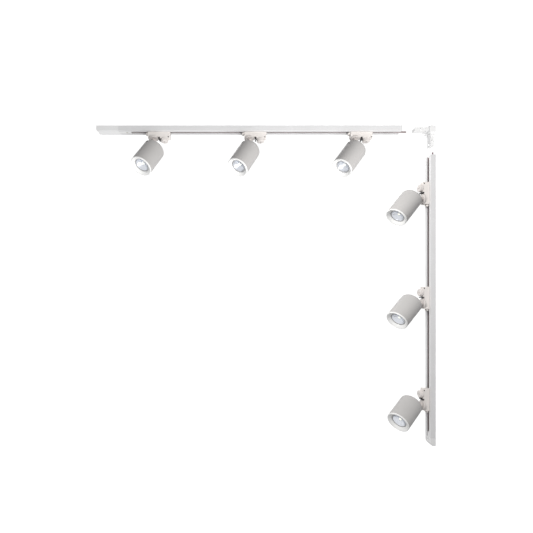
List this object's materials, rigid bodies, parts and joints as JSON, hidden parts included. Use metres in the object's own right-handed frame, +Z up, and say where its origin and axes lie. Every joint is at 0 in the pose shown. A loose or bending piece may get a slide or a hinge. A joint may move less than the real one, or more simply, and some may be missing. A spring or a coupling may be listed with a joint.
{
  "type": "track lighting fixture",
  "caption": "L-shaped track lighting kit: slotted rails with cylinder spotlights, live end, end cap and an inside-corner connector, pulled apart at the corner.",
  "frame": {"origin": "middle of rail 1's mounting face, which lies on the ceiling", "axes": "+Z up into the ceiling, +X along rail 1 towards the corner connector, +Y away from the viewer; rail 2 stands below the corner with its mounting face towards +X"},
  "size_m": [1.1965, 0.1193, 1.1295],
  "materials": {
    "rail_paint": "satin white powder coat on extruded aluminium",
    "liner_plastic": "dull PVC",
    "copper": "drawn copper, slightly tarnished",
    "feed_plastic": "fine moulded texture",
    "terminal_metal": "plated brass",
    "corner_plastic": "semi-gloss white moulding",
    "contact_metal": "nickel plated",
    "adapter_plastic": "fine moulded texture",
    "knob_plastic": "ribbed moulding",
    "neck_metal": "satin white paint",
    "head_paint": "satin white powder coat",
    "ring_paint": "smooth white paint",
    "lamp_plastic": "clear faceted lens on a white lamp body",
    "ceramic": "glazed ceramic"
  },
  "bodies": {
    "track_1": {"rail_1_profile": "rail_paint", "rail_1_liner": "liner_plastic", "rail_1_conductors": "copper", "live_end_housing": "feed_plastic", "live_end_terminals": "terminal_metal"},
    "corner": {"corner_body": "corner_plastic", "corner_contacts": "contact_metal", "corner_screws": "contact_metal"},
    "track_2": {"rail_2_profile": "rail_paint", "rail_2_liner": "liner_plastic", "rail_2_conductors": "copper", "end_cap": "feed_plastic"},
    "spot_1_adapter": {"spot_1_adapter_body": "adapter_plastic"},
    "spot_1_lock": {"spot_1_lock_knob": "knob_plastic"},
    "spot_1_tab": {"spot_1_release_tab": "adapter_plastic"},
    "spot_1_neck": {"spot_1_swivel_neck": "neck_metal"},
    "spot_1_head": {"spot_1_head_housing": "head_paint", "spot_1_front_ring": "ring_paint", "spot_1_lamp": "lamp_plastic", "spot_1_lamp_holder": "ceramic"},
    "spot_2_adapter": {"spot_2_adapter_body": "adapter_plastic"},
    "spot_2_lock": {"spot_2_lock_knob": "knob_plastic"},
    "spot_2_tab": {"spot_2_release_tab": "adapter_plastic"},
    "spot_2_neck": {"spot_2_swivel_neck": "neck_metal"},
    "spot_2_head": {"spot_2_head_housing": "head_paint", "spot_2_front_ring": "ring_paint", "spot_2_lamp": "lamp_plastic", "spot_2_lamp_holder": "ceramic"},
    "spot_3_adapter": {"spot_3_adapter_body": "adapter_plastic"},
    "spot_3_lock": {"spot_3_lock_knob": "knob_plastic"},
    "spot_3_tab": {"spot_3_release_tab": "adapter_plastic"},
    "spot_3_neck": {"spot_3_swivel_neck": "neck_metal"},
    "spot_3_head": {"spot_3_head_housing": "head_paint", "spot_3_front_ring": "ring_paint", "spot_3_lamp": "lamp_plastic", "spot_3_lamp_holder": "ceramic"},
    "spot_4_adapter": {"spot_4_adapter_body": "adapter_plastic"},
    "spot_4_lock": {"spot_4_lock_knob": "knob_plastic"},
    "spot_4_tab": {"spot_4_release_tab": "adapter_plastic"},
    "spot_4_neck": {"spot_4_swivel_neck": "neck_metal"},
    "spot_4_head": {"spot_4_head_housing": "head_paint", "spot_4_front_ring": "ring_paint", "spot_4_lamp": "lamp_plastic", "spot_4_lamp_holder": "ceramic"},
    "spot_5_adapter": {"spot_5_adapter_body": "adapter_plastic"},
    "spot_5_lock": {"spot_5_lock_knob": "knob_plastic"},
    "spot_5_tab": {"spot_5_release_tab": "adapter_plastic"},
    "spot_5_neck": {"spot_5_swivel_neck": "neck_metal"},
    "spot_5_head": {"spot_5_head_housing": "head_paint", "spot_5_front_ring": "ring_paint", "spot_5_lamp": "lamp_plastic", "spot_5_lamp_holder": "ceramic"},
    "spot_6_adapter": {"spot_6_adapter_body": "adapter_plastic"},
    "spot_6_lock": {"spot_6_lock_knob": "knob_plastic"},
    "spot_6_tab": {"spot_6_release_tab": "adapter_plastic"},
    "spot_6_neck": {"spot_6_swivel_neck": "neck_metal"},
    "spot_6_head": {"spot_6_head_housing": "head_paint", "spot_6_front_ring": "ring_paint", "spot_6_lamp": "lamp_plastic", "spot_6_lamp_holder": "ceramic"}
  },
  "joints": [
    {"name": "corner_slide", "type": "slide", "parent": "track_1", "child": "corner", "axis": [-1, 0, 0], "range_m": [0, 0.0863]},
    {"name": "rail_2_slide", "type": "slide", "parent": "corner", "child": "track_2", "axis": [0, 0, 1], "range_m": [0, 0.0698]},
    {"name": "spot_1_slide", "type": "slide", "parent": "track_1", "child": "spot_1_adapter", "axis": [1, 0, 0], "range_m": [-0.05, 0.1]},
    {"name": "spot_1_lock_turn", "type": "hinge", "parent": "spot_1_adapter", "child": "spot_1_lock", "pos_m": [-0.341, 0, -0.018], "axis": [0, 0, 1], "range_deg": [0, 90]},
    {"name": "spot_1_tab_pull", "type": "slide", "parent": "spot_1_adapter", "child": "spot_1_tab", "axis": [-1, 0, 0], "range_m": [0, 0.003], "stiffness_N_per_m": 600, "springref_m": -0.001},
    {"name": "spot_1_pan", "type": "hinge", "parent": "spot_1_adapter", "child": "spot_1_neck", "pos_m": [-0.38, 0, -0.03867], "axis": [0, 0, 1], "range_deg": [-142, 213]},
    {"name": "spot_1_tilt", "type": "hinge", "parent": "spot_1_neck", "child": "spot_1_head", "pos_m": [-0.38, 0, -0.08], "axis": [-0.8387, 0.5446, 0], "range_deg": [-37.5, 52.5]},
    {"name": "spot_2_slide", "type": "slide", "parent": "track_1", "child": "spot_2_adapter", "axis": [1, 0, 0], "range_m": [-0.12, 0.12]},
    {"name": "spot_2_lock_turn", "type": "hinge", "parent": "spot_2_adapter", "child": "spot_2_lock", "pos_m": [0.0015, 0, -0.018], "axis": [0, 0, 1], "range_deg": [0, 90]},
    {"name": "spot_2_tab_pull", "type": "slide", "parent": "spot_2_adapter", "child": "spot_2_tab", "axis": [-1, 0, 0], "range_m": [0, 0.003], "stiffness_N_per_m": 600, "springref_m": -0.001},
    {"name": "spot_2_pan", "type": "hinge", "parent": "spot_2_adapter", "child": "spot_2_neck", "pos_m": [-0.0375, 0, -0.03867], "axis": [0, 0, 1], "range_deg": [-127, 228]},
    {"name": "spot_2_tilt", "type": "hinge", "parent": "spot_2_neck", "child": "spot_2_head", "pos_m": [-0.0375, 0, -0.08], "axis": [-0.6691, 0.7431, 0], "range_deg": [-37, 53]},
    {"name": "spot_3_slide", "type": "slide", "parent": "track_1", "child": "spot_3_adapter", "axis": [1, 0, 0], "range_m": [-0.12, 0.04]},
    {"name": "spot_3_lock_turn", "type": "hinge", "parent": "spot_3_adapter", "child": "spot_3_lock", "pos_m": [0.3785, 0, -0.018], "axis": [0, 0, 1], "range_deg": [0, 90]},
    {"name": "spot_3_tab_pull", "type": "slide", "parent": "spot_3_adapter", "child": "spot_3_tab", "axis": [-1, 0, 0], "range_m": [0, 0.003], "stiffness_N_per_m": 600, "springref_m": -0.001},
    {"name": "spot_3_pan", "type": "hinge", "parent": "spot_3_adapter", "child": "spot_3_neck", "pos_m": [0.3395, 0, -0.03867], "axis": [0, 0, 1], "range_deg": [-110, 245]},
    {"name": "spot_3_tilt", "type": "hinge", "parent": "spot_3_neck", "child": "spot_3_head", "pos_m": [0.3395, 0, -0.08], "axis": [-0.4226, 0.9063, 0], "range_deg": [-39.5, 50.5]},
    {"name": "spot_4_slide", "type": "slide", "parent": "track_2", "child": "spot_4_adapter", "axis": [0, 0, 1], "range_m": [-0.12, 0.02]},
    {"name": "spot_4_lock_turn", "type": "hinge", "parent": "spot_4_adapter", "child": "spot_4_lock", "pos_m": [0.6, 0, -0.2165], "axis": [1, 0, 0], "range_deg": [0, 90]},
    {"name": "spot_4_tab_pull", "type": "slide", "parent": "spot_4_adapter", "child": "spot_4_tab", "axis": [0, 0, -1], "range_m": [0, 0.003], "stiffness_N_per_m": 600, "springref_m": -0.001},
    {"name": "spot_4_pan", "type": "hinge", "parent": "spot_4_adapter", "child": "spot_4_neck", "pos_m": [0.57933, 0, -0.2555], "axis": [1, 0, 0], "range_deg": [-68, 287]},
    {"name": "spot_4_tilt", "type": "hinge", "parent": "spot_4_neck", "child": "spot_4_head", "pos_m": [0.538, 0, -0.2555], "axis": [0, -0.9563, 0.2924], "range_deg": [-50, 40]},
    {"name": "spot_5_slide", "type": "slide", "parent": "track_2", "child": "spot_5_adapter", "axis": [0, 0, 1], "range_m": [-0.12, 0.12]},
    {"name": "spot_5_lock_turn", "type": "hinge", "parent": "spot_5_adapter", "child": "spot_5_lock", "pos_m": [0.6, 0, -0.5885], "axis": [1, 0, 0], "range_deg": [0, 90]},
    {"name": "spot_5_tab_pull", "type": "slide", "parent": "spot_5_adapter", "child": "spot_5_tab", "axis": [0, 0, -1], "range_m": [0, 0.003], "stiffness_N_per_m": 600, "springref_m": -0.001},
    {"name": "spot_5_pan", "type": "hinge", "parent": "spot_5_adapter", "child": "spot_5_neck", "pos_m": [0.57933, 0, -0.6275], "axis": [1, 0, 0], "range_deg": [-53, 302]},
    {"name": "spot_5_tilt", "type": "hinge", "parent": "spot_5_neck", "child": "spot_5_head", "pos_m": [0.538, 0, -0.6275], "axis": [0, -0.848, 0.5299], "range_deg": [-46, 44]},
    {"name": "spot_6_slide", "type": "slide", "parent": "track_2", "child": "spot_6_adapter", "axis": [0, 0, 1], "range_m": [-0.06, 0.12]},
    {"name": "spot_6_lock_turn", "type": "hinge", "parent": "spot_6_adapter", "child": "spot_6_lock", "pos_m": [0.6, 0, -0.9505], "axis": [1, 0, 0], "range_deg": [0, 90]},
    {"name": "spot_6_tab_pull", "type": "slide", "parent": "spot_6_adapter", "child": "spot_6_tab", "axis": [0, 0, -1], "range_m": [0, 0.003], "stiffness_N_per_m": 600, "springref_m": -0.001},
    {"name": "spot_6_pan", "type": "hinge", "parent": "spot_6_adapter", "child": "spot_6_neck", "pos_m": [0.57933, 0, -0.9895], "axis": [1, 0, 0], "range_deg": [-36, 319]},
    {"name": "spot_6_tilt", "type": "hinge", "parent": "spot_6_neck", "child": "spot_6_head", "pos_m": [0.538, 0, -0.9895], "axis": [0, -0.6561, 0.7547], "range_deg": [-44, 46]}
  ]
}
